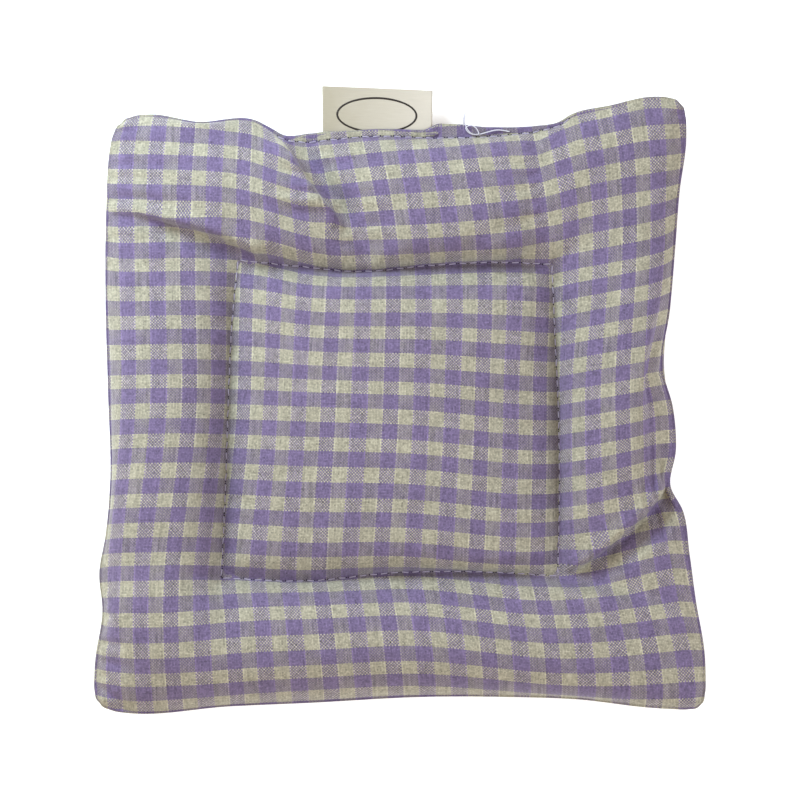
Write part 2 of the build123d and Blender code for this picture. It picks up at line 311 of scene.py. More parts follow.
def smooth_curve(points, count):
    """Evenly spaced points along a smooth line through the given ones."""
    knots = np.array(points, float)
    gaps = np.linalg.norm(np.diff(knots, axis=0), axis=1)
    at = np.concatenate([[0], np.cumsum(gaps)])
    slopes = np.gradient(knots, at, axis=0)
    t = np.linspace(0, at[-1], count)
    k = np.clip(np.searchsorted(at, t) - 1, 0, len(gaps) - 1)
    h = gaps[k][:, None]
    s = ((t - at[k]) / gaps[k])[:, None]
    return hermite(knots[k], knots[k + 1], slopes[k] * h, slopes[k + 1] * h, s)


def run_along(line):
    """How far along a line each of its points lies."""
    steps = np.linalg.norm(np.diff(np.asarray(line), axis=0), axis=1)
    return np.concatenate([[0], np.cumsum(steps)])


def fill_patch(grid, i0, i1, j0, j1):
    """Fills a patch of the grid between its four boundary lines (a Coons patch)."""
    s = np.linspace(0, 1, i1 - i0 + 1)[None, :, None]
    t = np.linspace(0, 1, j1 - j0 + 1)[:, None, None]
    left, right = grid[j0:j1 + 1, i0][:, None], grid[j0:j1 + 1, i1][:, None]
    low, high = grid[j0, i0:i1 + 1][None], grid[j1, i0:i1 + 1][None]
    corners = ((1 - s) * (1 - t) * grid[j0, i0] + s * (1 - t) * grid[j0, i1]
               + (1 - s) * t * grid[j1, i0] + s * t * grid[j1, i1])
    grid[j0:j1 + 1, i0:i1 + 1] = (1 - s) * left + s * right + (1 - t) * low + t * high - corners


def round_corners(grid):
    """Draws the corner points in, as the turned corners of the cover are round."""
    middle = grid[LAST // 2, LAST // 2].copy()
    for j, j_step in ((0, 1), (LAST, -1)):
        for i, i_step in ((0, 1), (LAST, -1)):
            inward = (middle - grid[j, i]) / np.linalg.norm(middle - grid[j, i])
            for a in range(CORNER_REACH):
                for b in range(CORNER_REACH):
                    fade = (1 + a + b) ** CORNER_FADE
                    grid[j + a * j_step, i + b * i_step] += inward * CORNER_ROUNDING / fade
    return grid


def plan_grid():
    """Where the cloth's points lie in plan before the simulation: grid[j, i], i to the right, j upwards."""
    grid = np.zeros((LAST + 1, LAST + 1, 2))
    square = slice(QA, QB + 1)
    lines = [
        (grid[:, 0], LEFT_SEAM), (grid[:, LAST], RIGHT_SEAM), (grid[0], BOTTOM_SEAM), (grid[LAST], TOP_SEAM),
        (grid[square, QA], QUILT_LEFT), (grid[square, QB], QUILT_RIGHT),
        (grid[QA, square], QUILT_BOTTOM), (grid[QB, square], QUILT_TOP),
    ]
    for line, route in lines:
        line[:] = smooth_curve(route, len(line))
    for q in (QA, QB):
        for first, last in ((0, QA), (QB, LAST)):
            share = np.linspace(0, 1, RING_CELLS + 1)[:, None]
            grid[q, first:last + 1] = grid[q, first] * (1 - share) + grid[q, last] * share
            grid[first:last + 1, q] = grid[first, q] * (1 - share) + grid[last, q] * share
    cuts = (0, QA, QB, LAST)
    for i0, i1 in zip(cuts, cuts[1:]):
        for j0, j1 in zip(cuts, cuts[1:]):
            fill_patch(grid, i0, i1, j0, j1)
    return round_corners(grid)


def flat_grid(parts=1):
    """Where the cloth's points lie on the flat panel before its taper, with each cell in so many parts."""
    lines = (0, QA, QB, LAST)
    places = np.arange(parts * LAST + 1) / parts
    axes = [np.interp(places, lines, knots) for knots in (FLAT_X, FLAT_Y)]
    return np.stack(np.meshgrid(*axes), axis=-1)


def tapered(flat):
    """The flat panel as it is cut."""
    cut = flat.copy()
    cut[..., 0] *= 1 - TAPER * (flat[..., 1] - FLAT_Y[0]) / (FLAT_Y[3] - FLAT_Y[0])
    return cut


def distance_to_line(xy, route):
    """Distance of each point from a line of straight runs."""
    route = np.array(route, float)
    best = np.full(xy.shape[:-1], np.inf)
    for a, b in zip(route[:-1], route[1:]):
        t = np.clip(((xy - a) @ (b - a)) / ((b - a) @ (b - a)), 0, 1)
        best = np.minimum(best, np.linalg.norm(xy - (a + t[..., None] * (b - a)), axis=-1))
    return best


def start_shape(plan, side):
    """The held shape of one panel, from which only held points are taken: side is 1 for the front, -1 for
    the back. Returns the points, and how strongly the folds hold each of them."""
    j, i = np.mgrid[0:LAST + 1, 0:LAST + 1]
    to_edge = np.minimum(np.minimum(i, j), np.minimum(LAST - i, LAST - j))
    s = np.clip(to_edge / RING_CELLS, 0, 1)
    into_centre = np.clip((to_edge - RING_CELLS) / (QUILT_CELLS / 2), 0, 1)
    seam = np.full(plan.shape[:-1], SEAM_Z)
    for centre, rise, radius in SEAM_LIFTS:
        seam += rise * bell(np.linalg.norm(plan - np.array(centre), axis=-1), radius)
    ring = RING_RISE * (4 * s * (1 - s)) ** RING_BULGE
    swell = ring + CENTRE_RISE * (1 - (1 - into_centre) ** CENTRE_BULGE)
    height = seam * (1 - s) + QUILT_Z * s + side * (swell + CLOTH / 2 + QUILT_GAP * s)
    hold = np.zeros(plan.shape[:-1])
    if side > 0:
        inside = to_edge > 0
        for route, depth, width in FOLDS:
            distance = distance_to_line(plan, route)
            height -= inside * depth * np.clip(swell / FOLD_SWELL, 0, 1) * bell(distance, width)
            hold = np.maximum(hold, np.clip(FOLD_GRIP * bell(distance, FOLD_CORE * width), 0, 1))
    return np.concatenate([plan, height[..., None]], axis=-1), hold


def grid_quads(rows, columns):
    """The faces over a grid of points that are numbered row by row."""
    index = np.arange(rows * columns).reshape(rows, columns)
    corners = [index[:-1, :-1], index[:-1, 1:], index[1:, 1:], index[1:, :-1]]
    return np.stack(corners, axis=-1).reshape(-1, 4).tolist()


def held_places(hold):
    """How strongly each point is held: fully on the seam line and the stitch line, and else by the folds."""
    weight = hold.copy()
    for k in (0, LAST):
        weight[k] = weight[:, k] = 1
    for k in (QA, QB):
        weight[k, QA:QB + 1] = weight[QA:QB + 1, k] = 1
    return weight


def new_object(name, data):
    """A new object, linked to the scene."""
    thing = bpy.data.objects.new(name, data)
    bpy.context.scene.collection.objects.link(thing)
    return thing


def relax_cloth(name, held_shape, flat, hold):
    """Cloth simulation of one panel. It begins as the flat cut cloth; its seam line, stitch line and folds
    are drawn to where they lie on the pillow, while the filling's pressure swells the rest. Returns the
    settled points."""
    unit = MM * SIM_SCALE
    level = np.full(flat.shape[:-1] + (1,), QUILT_Z)
    points = np.concatenate([flat, level], axis=-1) * unit
    mesh = bpy.data.meshes.new(name + "_sim")
    mesh.from_pydata(points.reshape(-1, 3).tolist(), [], grid_quads(*points.shape[:2]))
    mesh.update()
    panel = new_object(name + "_sim", mesh)
    panel.shape_key_add(name="Basis")
    drawn_in = panel.shape_key_add(name="drawn_in")
    drawn_in.data.foreach_set("co", (held_shape * unit).reshape(-1))
    for step, value in ((1, 0.0), (DRAW_FRAMES, 1.0)):
        drawn_in.value = value
        drawn_in.keyframe_insert("value", frame=step)
    group = panel.vertex_groups.new(name="held")
    for k, weight in enumerate(held_places(hold).reshape(-1)):
        if weight > LEAST_GRIP:
            group.add([k], float(weight), "REPLACE")
    modifier = panel.modifiers.new("cloth", "CLOTH")
    modifier.collision_settings.use_collision = False
    modifier.point_cache.frame_start = 1
    modifier.point_cache.frame_end = SIM_FRAMES
    cloth = modifier.settings
    for setting, value in COTTON.items():
        setattr(cloth, setting, value)
    cloth.vertex_group_mass = "held"
    cloth.effector_weights.gravity = 0
    scene = bpy.context.scene
    for step in range(1, SIM_FRAMES + 1):
        scene.frame_set(step)
    settled_mesh = panel.evaluated_get(bpy.context.evaluated_depsgraph_get()).to_mesh()
    settled = np.zeros(len(settled_mesh.vertices) * 3)
    settled_mesh.vertices.foreach_get("co", settled)
    scene.frame_set(1)
    bpy.data.objects.remove(panel)
    return settled.reshape(held_shape.shape) / unit


def mirrored(points):
    """The same points with the height mirrored in the level of the quilting."""
    return points * (1, 1, -1) + (0, 0, 2 * QUILT_Z)


def from_lines(flat):
    """How far each place on the flat panel lies from the stitched square and from the panel's edge, and how
    far outside the square it lies."""
    beyond = np.abs(flat) - (FLAT_X[2], FLAT_Y[2])
    outside = np.hypot(*np.moveaxis(np.maximum(beyond, 0), -1, 0))
    to_line = np.where(outside > 0, outside, -beyond.max(axis=-1))
    low, high = (np.array([FLAT_X[k], FLAT_Y[k]]) for k in (0, 3))
    to_edge = np.minimum(flat - low, high - flat).min(axis=-1)
    return to_line, np.maximum(to_edge, 0), outside


def filled_out(points, flat):
    """The front as the grain beneath holds it up, steepest beside the stitches and the seam."""
    _, to_edge, outside = from_lines(flat)
    ring = (1 - np.exp(-(outside / STEEP_REACH) ** STEEP_POWER)) * (1 - np.exp(-to_edge / STEEP_REACH))
    inward = np.maximum((FLAT_X[2], FLAT_Y[2]) - np.abs(flat), 0)
    centre = np.prod(1 - np.exp(-(inward / STEEP_REACH) ** STEEP_POWER), axis=-1)
    dome = np.prod(1 - (1 - inward / (FLAT_X[2], FLAT_Y[2])) ** 2, axis=-1)
    moved = points.copy()
    moved[..., 2] += RING_SWELL * ring + CENTRE_SWELL * centre + CENTRE_DOME * dome
    return moved


def puckers(points, flat):
    """The groove of the quilting, and the small gathers that stitches pull into the cloth beside them."""
    moved = points.copy()
    x, y = flat[..., 0], flat[..., 1]
    near, _, _ = from_lines(flat)
    along = np.where(np.abs(x) - FLAT_X[2] > np.abs(y) - FLAT_Y[2], y, x)
    ripple = np.sin(0.78 * along + 0.6 * np.sin(0.21 * along)) + 0.6 * np.sin(1.31 * along + 2.0)
    moved[..., 2] += PUCKER_HEIGHT * ripple * rise_and_fade(near, PUCKER_REACH)
    moved[..., 2] -= GROOVE_DEPTH * bell(near, GROOVE_WIDTH)
    stitched = np.clip(flange_depth(points[..., 0]), 0, 1) * rise_and_fade(FLAT_Y[3] - y, PUCKER_REACH)
    moved[..., 2] += PUCKER_HEIGHT * stitched * np.sin(0.9 * x + np.sin(0.17 * x))
    return moved


def along_line(xy, route):
    """For each point: its distance from a line of straight runs, positive on the right-hand side, the share
    of the line passed at the nearest place, and the direction to the right there."""
    route = np.array(route, float)
    lengths = np.linalg.norm(np.diff(route, axis=0), axis=1)
    passed = np.concatenate([[0], np.cumsum(lengths)]) / lengths.sum()
    best, signed, share = (np.full(xy.shape[:-1], np.inf) for _ in range(3))
    right = np.zeros(xy.shape)
    for k, (a, b) in enumerate(zip(route[:-1], route[1:])):
        t = np.clip(((xy - a) @ (b - a)) / lengths[k] ** 2, 0, 1)
        off = xy - (a + t[..., None] * (b - a))
        distance = np.linalg.norm(off, axis=-1)
        normal = np.array([b[1] - a[1], a[0] - b[0]]) / lengths[k]
        nearer = distance < best
        best = np.where(nearer, distance, best)
        signed = np.where(nearer, np.where(off @ normal >= 0, distance, -distance), signed)
        share = np.where(nearer, passed[k] + t * (passed[k + 1] - passed[k]), share)
        right = np.where(nearer[..., None], normal, right)
    return signed, share, right


def creased(points, flat):
    """The cloth with its sharp creases: past its edge it drops into a hollow, and the edge leans over it."""
    moved = points.copy()
    _, to_edge, outside = from_lines(flat)
    free = (1 - bell(to_edge, CREASE_CLEARANCE)) * (1 - bell(outside, CREASE_CLEARANCE))
    for route, depth, reach, lean in CREASES:
        signed, share, right = along_line(points[..., :2], route)
        strength = free * np.clip(share / CREASE_GROWTH, 0, 1)
        strength *= np.clip((1 - share) / CREASE_END, CREASE_LEAST, 1)
        strength *= bell(np.maximum(np.abs(signed) - CREASE_REACH, 0), CREASE_FADE)
        hollow = rise_and_fade(np.maximum(signed, 0), reach)
        ridge = RIDGE_HEIGHT * bell(signed + RIDGE_BACK, RIDGE_WIDTH)
        moved[..., 2] += strength * depth * (ridge - hollow)
        shift = np.where(signed < 0, bell(signed, LEAN_BEHIND), bell(signed, LEAN_BELOW))
        moved[..., :2] += (strength * lean * shift)[..., None] * right
    return moved


def refined(grid):
    """The same grid with more points, on smooth curves through the old ones."""
    for axis in (0, 1):
        values = np.moveaxis(grid, axis, 0)
        slopes = np.gradient(values, axis=0)
        fine = []
        for k in range(len(values) - 1):
            for s in np.arange(REFINE) / REFINE:
                fine.append(hermite(values[k], values[k + 1], slopes[k], slopes[k + 1], s))
        grid = np.moveaxis(np.array(fine + [values[-1]]), 0, axis)
    return grid


def crinkles(points, flat):
    """Soft creases of thin cotton over loose grain, all over the cloth."""
    x, y = flat[..., 0], flat[..., 1]
    waves = (np.sin(0.31 * x + 0.12 * y + 1.1 * np.sin(0.07 * y)) * np.sin(0.05 * x - 0.19 * y + 0.8)
             + 0.7 * np.sin(-0.17 * x + 0.36 * y + 1.3 * np.sin(0.09 * x + 1)) * np.sin(0.11 * x + 0.07 * y)
             + 0.5 * np.sin(0.55 * x - 0.35 * y + 2.0) * np.sin(0.13 * x + 0.23 * y + 0.4))
    _, to_edge, _ = from_lines(flat)
    moved = points.copy()
    moved[..., 2] += CRINKLE_HEIGHT * waves * (1 - bell(to_edge, CRINKLE_MARGIN))
    return moved


def settled_panels():
    """The settled points of the front and the back panel, the back pressed flat where it lies."""
    plan, flat = plan_grid(), flat_grid()
    panels = []
    for name, side in (("front", 1), ("back", -1)):
        held_shape, hold = start_shape(plan, side)
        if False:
            points = held_shape
        elif side > 0:
            points = relax_cloth(name, held_shape, tapered(flat), hold)
        else:
            points = mirrored(relax_cloth(name, mirrored(held_shape), tapered(flat), hold))
        panels.append(refined(points))
    flat = flat_grid(REFINE)
    front, back = panels
    front = puckers(creased(filled_out(crinkles(front, flat), flat), flat), flat)
    back = mirrored(puckers(mirrored(crinkles(back, flat)), flat))
    back[..., 2] = FLOOR_SOFTNESS * np.logaddexp(0, back[..., 2] / FLOOR_SOFTNESS)
    return front, back, flat


# ---- meshes
def finish_piece(name, mesh, material, body):
    """Links a piece to the scene, gives it its material and lets it ride on a body."""
    piece = new_object(name, mesh)
    mesh.materials.append(material)
    mesh.polygons.foreach_set("use_smooth", [True] * len(mesh.polygons))
    if body:
        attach(piece, body)
    return piece


def mesh_of(name, points, faces, cloth):
    """A mesh in metres from points in millimetres, with the cloth's own coordinates as an attribute."""
    mesh = bpy.data.meshes.new(name)
    mesh.from_pydata((np.asarray(points) * MM).tolist(), [], faces)
    attribute = mesh.attributes.new("cloth", "FLOAT_VECTOR", "POINT")
    attribute.data.foreach_set("vector", np.asarray(cloth, np.float32).reshape(-1))
    mesh.update()
    return mesh


def through(knots, values, at):
    """A smooth curve through values at knots. The values may be fields over the places asked for."""
    knots, values = np.asarray(knots, float), np.asarray(values, float)
    slopes = np.gradient(values, knots, axis=0)
    k = np.clip(np.searchsorted(knots, at) - 1, 0, len(knots) - 2)
    h = knots[k + 1] - knots[k]
    s = np.clip((at - knots[k]) / h, 0, 1)
    before, after = k, k + 1
    if values.ndim > 1:
        places = np.arange(len(at))
        before, after = (k, places), (k + 1, places)
    return hermite(values[before], values[after], slopes[before] * h, slopes[after] * h, s)


def weave_place(flat):
    """Where places on the flat panel lie in the weave, which goes on past the panel's seam line."""
    places = []
    for k, (cut, woven) in enumerate(((FLAT_X, WOVEN_X), (FLAT_Y, WOVEN_Y))):
        knots = (cut[0] - BEYOND, *cut, cut[3] + BEYOND)
        counts = (woven[0] - BEYOND, *woven, woven[3] + BEYOND)
        places.append(np.interp(flat[..., k], knots, counts))
    return np.stack(places, axis=-1)


def weave_drift(flat):
    """How far the front's weave is pulled out of line with the panel, across and along."""
    rows = [[through(DRIFT_X, values, flat[:, 0]) for values in zip(*row)] for row in WEAVE_DRIFT]
    return np.stack([through(DRIFT_Y, fields, flat[:, 1]) for fields in zip(*rows)], axis=-1)


def flange_depth(x):
    """How far the closing flange stands out beyond its stitches at x."""
    return np.interp(x, *zip(*FLANGE))


def label_gap(x):
    """Half the room that the label takes between the flange's two folds."""
    by_label = np.abs(x - LABEL_X) < LABEL_WIDTH / 2 + 1.5
    return np.where(by_label, LABEL_THICKNESS + 0.12, 0.06)


def quads_round(a, b):
    """Quads between two equal rings of point numbers."""
    a, b = a + a[:1], b + b[:1]
    return list(zip(a, a[1:], b[1:], b))


def cover_mesh(name, points, flat, side):
    """One panel of the cover: its settled cloth, and the edge that turns in at the seam. Along the closing
    it first goes on as a flat fold beyond the stitches, which is the flange."""
    end = len(points) - 1
    steps = np.arange(end)
    zero, last = np.zeros(end, int), np.full(end, end)
    loop_j = np.concatenate([zero, steps, last, end - steps])
    loop_i = np.concatenate([steps, last, end - steps, zero])
    edge, edge_flat = points[loop_j, loop_i], flat[loop_j, loop_i]
    along = np.roll(edge, -1, axis=0) - np.roll(edge, 1, axis=0)
    outward = np.stack([along[:, 1], -along[:, 0]], axis=-1)
    outward /= np.linalg.norm(outward, axis=1)[:, None]
    sides = [(loop == end) * 1.0 - (loop == 0) for loop in (loop_i, loop_j)]
    outward_flat = np.stack(sides, axis=-1)
    at_top = loop_j == end
    depth = flange_depth(edge[:, 0]) * at_top
    gap = np.where(at_top, label_gap(edge[:, 0]), 0.05)
    half = 0.25 + 0.42 * np.clip(depth / 2.5, 0, 1) + gap
    # Rows of the turned edge: how far out and how far up each lies, and how much cloth has run by then
    section = [
        (0.55 * depth + 0.25, half, 0.55 * depth + 0.4),
        (depth + 0.5, 0.8 * half, depth + 0.8),
        (depth + 0.6, 0.5 * (half + gap), depth + 1.1),
        (depth + 0.35, gap, depth + 1.4),
        (0.3 * depth - 1.2, gap, 1.7 * depth + 2.9),
    ]
    all_points, all_flat = [points.reshape(-1, 3)], [flat.reshape(-1, 2)]
    rows = [loop_j * (end + 1) + loop_i]
    level = edge[:, 2] - side * CLOTH / 2
    for n, (out, up, run) in enumerate(section):
        place = edge[:, :2] + outward * out[:, None]
        all_points.append(np.column_stack([place, level + side * up]))
        all_flat.append(edge_flat + outward_flat * run[:, None])
        rows.append((end + 1) ** 2 + n * len(edge) + np.arange(len(edge)))
    faces = grid_quads(end + 1, end + 1)
    for inner, outer in zip(rows, rows[1:]):
        faces += quads_round(outer.tolist(), inner.tolist())
    if side < 0:
        faces = [tuple(reversed(face)) for face in faces]
    all_points, all_flat = np.concatenate(all_points), np.concatenate(all_flat)
    woven = weave_place(all_flat)
    if side > 0:
        woven += weave_drift(all_flat)
    woven = np.column_stack([woven, np.full(len(all_flat), side * 1.0)])
    return mesh_of(name, all_points, faces, woven)


def thicken(piece, thickness, levels=1):
    """Rounds a cloth piece and gives it its thickness, inwards."""
    smooth = piece.modifiers.new("smooth", "SUBSURF")
    smooth.levels = smooth.render_levels = levels
    solid = piece.modifiers.new("thickness", "SOLIDIFY")
    solid.thickness = thickness * MM
    solid.offset = -1
    solid.use_even_offset = False


class Surface:
    """The finished outer face of a piece, to lay threads on."""

    def __init__(self, piece, side):
        bpy.context.view_layer.update()
        self.tree = BVHTree.FromObject(piece, bpy.context.evaluated_depsgraph_get())
        self.side = side

    def height(self, x, y):
        """Height of the outer face over a place in plan."""
        start = Vector((x * MM, y * MM, self.side * 0.2))
        hit = self.tree.ray_cast(start, Vector((0, 0, -self.side)))[0]
        return hit.z / MM if hit else SEAM_Z


class Rods:
    """A bundle of short round rods in one mesh."""

    def __init__(self):
        self.points, self.faces, self.cloth = [], [], []

    def add(self, path, radii, sides=8):
        """One rod along a path, with a radius at each of its points."""
        path = np.asarray(path, float)
        first = len(self.points)
        ahead = np.gradient(path, axis=0)
        ahead /= np.linalg.norm(ahead, axis=1)[:, None]
        run = run_along(path)
        across = np.cross(ahead[0], (0.1, 0.2, 1.0))
        for k, centre in enumerate(path):
            across = across - ahead[k] * (across @ ahead[k])
            across /= np.linalg.norm(across)
            up = np.cross(ahead[k], across)
            for m in range(sides):
                angle = 2 * math.pi * m / sides
                self.points.append(centre + radii[k] * (math.cos(angle) * across + math.sin(angle) * up))
                self.cloth.append((run[k], m / sides, 0))
        rings = np.arange(first, len(self.points)).reshape(-1, sides).tolist()
        for ring, following in zip(rings, rings[1:]):
            self.faces += quads_round(following, ring)
        self.faces += [tuple(rings[0]), tuple(reversed(rings[-1]))]

    def piece(self, name, material, body, slot):
        """The bundle as one piece."""
        return finish_piece(name, mesh_of(name, self.points, self.faces, self.cloth), material, body)


def place_on(points, flat, spots):
    """Places in plan of spots given on the flat panel."""
    end = len(points) - 1
    columns = np.interp(spots[:, 0], flat[0, :, 0], np.arange(end + 1))
    rows = np.interp(spots[:, 1], flat[:, 0, 1], np.arange(end + 1))
    i, j = np.minimum(columns.astype(int), end - 1), np.minimum(rows.astype(int), end - 1)
    s, t = (columns - i)[:, None], (rows - j)[:, None]
    low = points[j, i] * (1 - s) + points[j, i + 1] * s
    high = points[j + 1, i] * (1 - s) + points[j + 1, i + 1] * s
    return (low * (1 - t) + high * t)[:, :2]


def stitch_row(rods, holes, surface, line, raised):
    """Stitches along a line in plan. Each rises out of one needle hole, lies on the cloth and dives into the
    next."""
    line = np.asarray(line, float)
    run = run_along(line)
    count = max(1, round(run[-1] / STITCH_PITCH))
    step = run[-1] / count
    length = step * STITCH_LENGTH / STITCH_PITCH
    for n in range(count):
        middle = (n + 0.5) * step
        t = np.linspace(-1, 1, 9)
        at = middle + t * length / 2
        x, y = np.interp(at, run, line[:, 0]), np.interp(at, run, line[:, 1])
        lean = STITCH_LEAN * math.sin(2.1 * n + 0.7)
        normal = np.array([-(y[-1] - y[0]), x[-1] - x[0]]) / length
        x, y = x + lean * t * normal[0], y + lean * t * normal[1]
        ground = np.array([surface.height(a, b) for a, b in zip(x, y)])
        ground = 0.5 * ground + 0.5 * np.interp(t, (-1, 1), (ground[0], ground[-1]))
        lift = raised + STITCH_RISE * (1 - t * t) - STITCH_DIVE * np.abs(t) ** 6
        rods.add(np.column_stack([x, y, ground + surface.side * lift]), THREAD_RADIUS * (1 - 0.25 * t ** 4))
        # Dark cups at both ends of each stitch: painted shade in the needle holes.
        for end in (0, -1):
            holes.add([(x[end], y[end], ground[end] + surface.side * 0.03),
                       (x[end], y[end], ground[end] - surface.side * 0.25)],
                      (HOLE_RADIUS, 0.6 * HOLE_RADIUS), 7)


def quilt_lines(points, flat):
    """The four stitch lines of the quilted square, in plan, at the given points' grid."""
    x, y = FLAT_X[2], FLAT_Y[2]
    corners = [(-x, -y), (x, -y), (x, y), (-x, y), (-x, -y)]
    return [place_on(points, flat, np.linspace(a, b, 60)) for a, b in zip(corners, corners[1:])]


# ---- label
def label_piece(material):
    """The folded cloth label: a strip of tape doubled over a soft fold at its free end."""
    half = LABEL_THICKNESS / 2 + 0.02
    root, tip = HINGE[1] - LABEL_HIDDEN, LABEL_TIP
    top = [(y, half) for y in np.linspace(root, tip - LABEL_TURN, 18)]
    turn = [(tip - LABEL_TURN + LABEL_TURN * math.sin(a), 1.15 * half * math.cos(a))
            for a in np.linspace(0.35, math.pi - 0.35, 5)]
    path = top + turn + [(y, -half) for y, _ in reversed(top)]
    run = run_along(path)
    across = np.linspace(-0.5, 0.5, 29)
    points, cloth = [], []
    for (y, z), along in zip(path, run):
        out = (y - HINGE[1]) / (tip - HINGE[1])
        for s in across:
            x = LABEL_X + s * LABEL_WIDTH + 0.25 * out * s
            skewed = y - LABEL_SKEW * s * max(0.0, out)
            wave = max(0.0, out) ** 1.5 * (0.5 * math.cos(2.6 * s + 0.4) - 0.35 - 0.25 * out)
            points.append((x, skewed, SEAM_Z + z + wave))
            cloth.append((s * LABEL_WIDTH, along, 1.0))
    faces = grid_quads(len(path), len(across))
    piece = finish_piece("label", mesh_of("label", points, faces, cloth), material, None)
    thicken(piece, LABEL_THICKNESS)
    return piece


def label_ring(surface, material):
    """The printed oval on the label: a thin line of ink that lies on the tape."""
    points, cloth = [], []
    for width in (-0.5, 0.5):
        across, up = OVAL[0] + width * OVAL_LINE, OVAL[1] + width * OVAL_LINE
        for n in range(OVAL_STEPS):
            angle = 2 * math.pi * n / OVAL_STEPS
            x = OVAL_MIDDLE[0] + across * math.cos(angle)
            y = OVAL_MIDDLE[1] + up * math.sin(angle) - OVAL_TILT * (x - LABEL_X)
            points.append((x, y, surface.height(x, y) + INK_THICKNESS))
            cloth.append((10 * angle, width, 0))
    inner, outer = list(range(OVAL_STEPS)), list(range(OVAL_STEPS, 2 * OVAL_STEPS))
    mesh = mesh_of("label_oval", points, quads_round(inner, outer), cloth)
    piece = finish_piece("label_oval", mesh, material, None)
    solid = piece.modifiers.new("thickness", "SOLIDIFY")
    solid.thickness = INK_THICKNESS * MM
    return piece


# ---- materials
class Material:
    """A node material of one Principled shader, with short ways to add nodes to it."""

    def __init__(self, name, roughness, sheen=0.0):
        self.material = bpy.data.materials.new(name)
        self.material.use_nodes = True
        self.tree = self.material.node_tree
        self.shader = self.tree.nodes["Principled BSDF"]
        self.shader.inputs["Roughness"].default_value = roughness
        self.shader.inputs["Sheen Weight"].default_value = sheen
        self.shader.inputs["Specular IOR Level"].default_value = 0.3

    def put(self, socket, value):
        """Gives an input a number or another node's output."""
        if isinstance(value, bpy.types.NodeSocket):
            self.tree.links.new(value, socket)
        else:
            socket.default_value = value

    def node(self, kind, output, inputs=(), **settings):
        """A node with the given inputs and settings; returns one of its outputs."""
        node = self.tree.nodes.new(kind)
        for key, value in settings.items():
            setattr(node, key, value)
        for key, value in dict(inputs).items():
            self.put(node.inputs[key], value)
        return node.outputs[output]

    def math(self, operation, a, b=0.0):
        return self.node("ShaderNodeMath", 0, {0: a, 1: b}, operation=operation)

    def plus(self, a, b):
        return self.math("ADD", a, b)

    def minus(self, a, b):
        return self.math("SUBTRACT", a, b)

    def times(self, a, b):
        return self.math("MULTIPLY", a, b)

    def mix(self, share, a, b):
        """A number between a and b."""
        return self.node("ShaderNodeMix", 0, {0: share, 2: a, 3: b}, data_type="FLOAT")

    def blend(self, share, a, b):
        """A colour between a and b."""
        return self.node("ShaderNodeMix", 2, {0: share, 6: a, 7: b}, data_type="RGBA")

    def shade(self, colour, brightness):
        """A colour made lighter or darker by a number."""
        return self.node("ShaderNodeVectorMath", 0, {0: colour, 3: brightness}, operation="SCALE")

    def place(self, x, y, z=0.0):
        return self.node("ShaderNodeCombineXYZ", 0, {0: x, 1: y, 2: z})

    def noise(self, place, scale, detail=2.0):
        return self.node("ShaderNodeTexNoise", 0, {"Vector": place, "Scale": scale, "Detail": detail})

    def cloth(self):
        """The cloth's own coordinates, in millimetres of the flat cloth."""
        where = self.node("ShaderNodeAttribute", "Vector", attribute_name="cloth")
        split = self.tree.nodes.new("ShaderNodeSeparateXYZ")
        self.put(split.inputs[0], where)
        return where, split.outputs[0], split.outputs[1]

    def finish(self, colour, height, depth, strength=1.0):
        """Sets the colour, and the bump from a height of 0 to 1 over a depth in millimetres."""
        relief = {"Height": height, "Distance": depth * MM, "Strength": strength}
        bump = self.node("ShaderNodeBump", 0, relief)
        self.put(self.shader.inputs["Normal"], bump)
        self.put(self.shader.inputs["Base Color"], colour)
        return self.material


def plain_weave(m, u, v, yarn):
    """Yarns of a plain weave: each yarn's number across and along, whether the warp lies on top, and the
    height."""
    across, along = m.math("DIVIDE", u, yarn), m.math("DIVIDE", v, yarn)
    warp, weft = m.math("FLOOR", across), m.math("FLOOR", along)
    over = m.math("GREATER_THAN", m.math("FRACT", m.times(m.plus(warp, weft), 0.5)), 0.25)
    from_middle = m.math("ABSOLUTE", m.minus(m.math("FRACT", along), 0.5))
    over = m.math("MAXIMUM", over, m.math("GREATER_THAN", from_middle, 0.5 - WARP_FLOAT))
    domes = []
    for place in (across, along):
        part = m.math("FRACT", place)
        domes.append(m.times(m.times(part, 4.0), m.minus(1.0, part)))
    side = m.mix(over, domes[1], domes[0])
    length = m.mix(over, domes[0], domes[1])
    height = m.times(m.math("POWER", side, 0.5), m.plus(m.times(length, 0.5), 0.5))
    return warp, weft, over, height


def stripes_of(m, yarn_number, period, middle):
    """The turn of one set of stripes at each yarn, and 1 where the yarn is cream."""
    place = m.times(m.plus(yarn_number, 0.5), YARN)
    turn = m.times(m.minus(place, middle), 2 * math.pi / period)
    return turn, m.math("GREATER_THAN", m.math("COSINE", turn), STRIPE_EDGE)


def yarn_slubs(m, u, v, warp, weft, over):
    """Slow swelling and thinning along each yarn that lies on top."""
    slub_warp = m.noise(m.place(m.times(warp, 1.7), m.times(v, 0.13), 1.0), 1.0)
    slub_weft = m.noise(m.place(m.times(u, 0.13), m.times(weft, 1.7), 7.0), 1.0)
    return m.mix(over, slub_weft, slub_warp)


def cluster_dots(m, where, u, v):
    """A fine chequer that comes and goes over the cloth."""
    column, row = (m.math("FLOOR", m.math("DIVIDE", place, CLUSTER)) for place in (u, v))
    dots = m.math("FRACT", m.times(m.plus(column, row), 0.5))
    patch = m.math("MAXIMUM", 0.05, m.minus(m.noise(where, 0.25, 1.0), 0.36))
    return m.times(m.minus(dots, 0.25), patch)


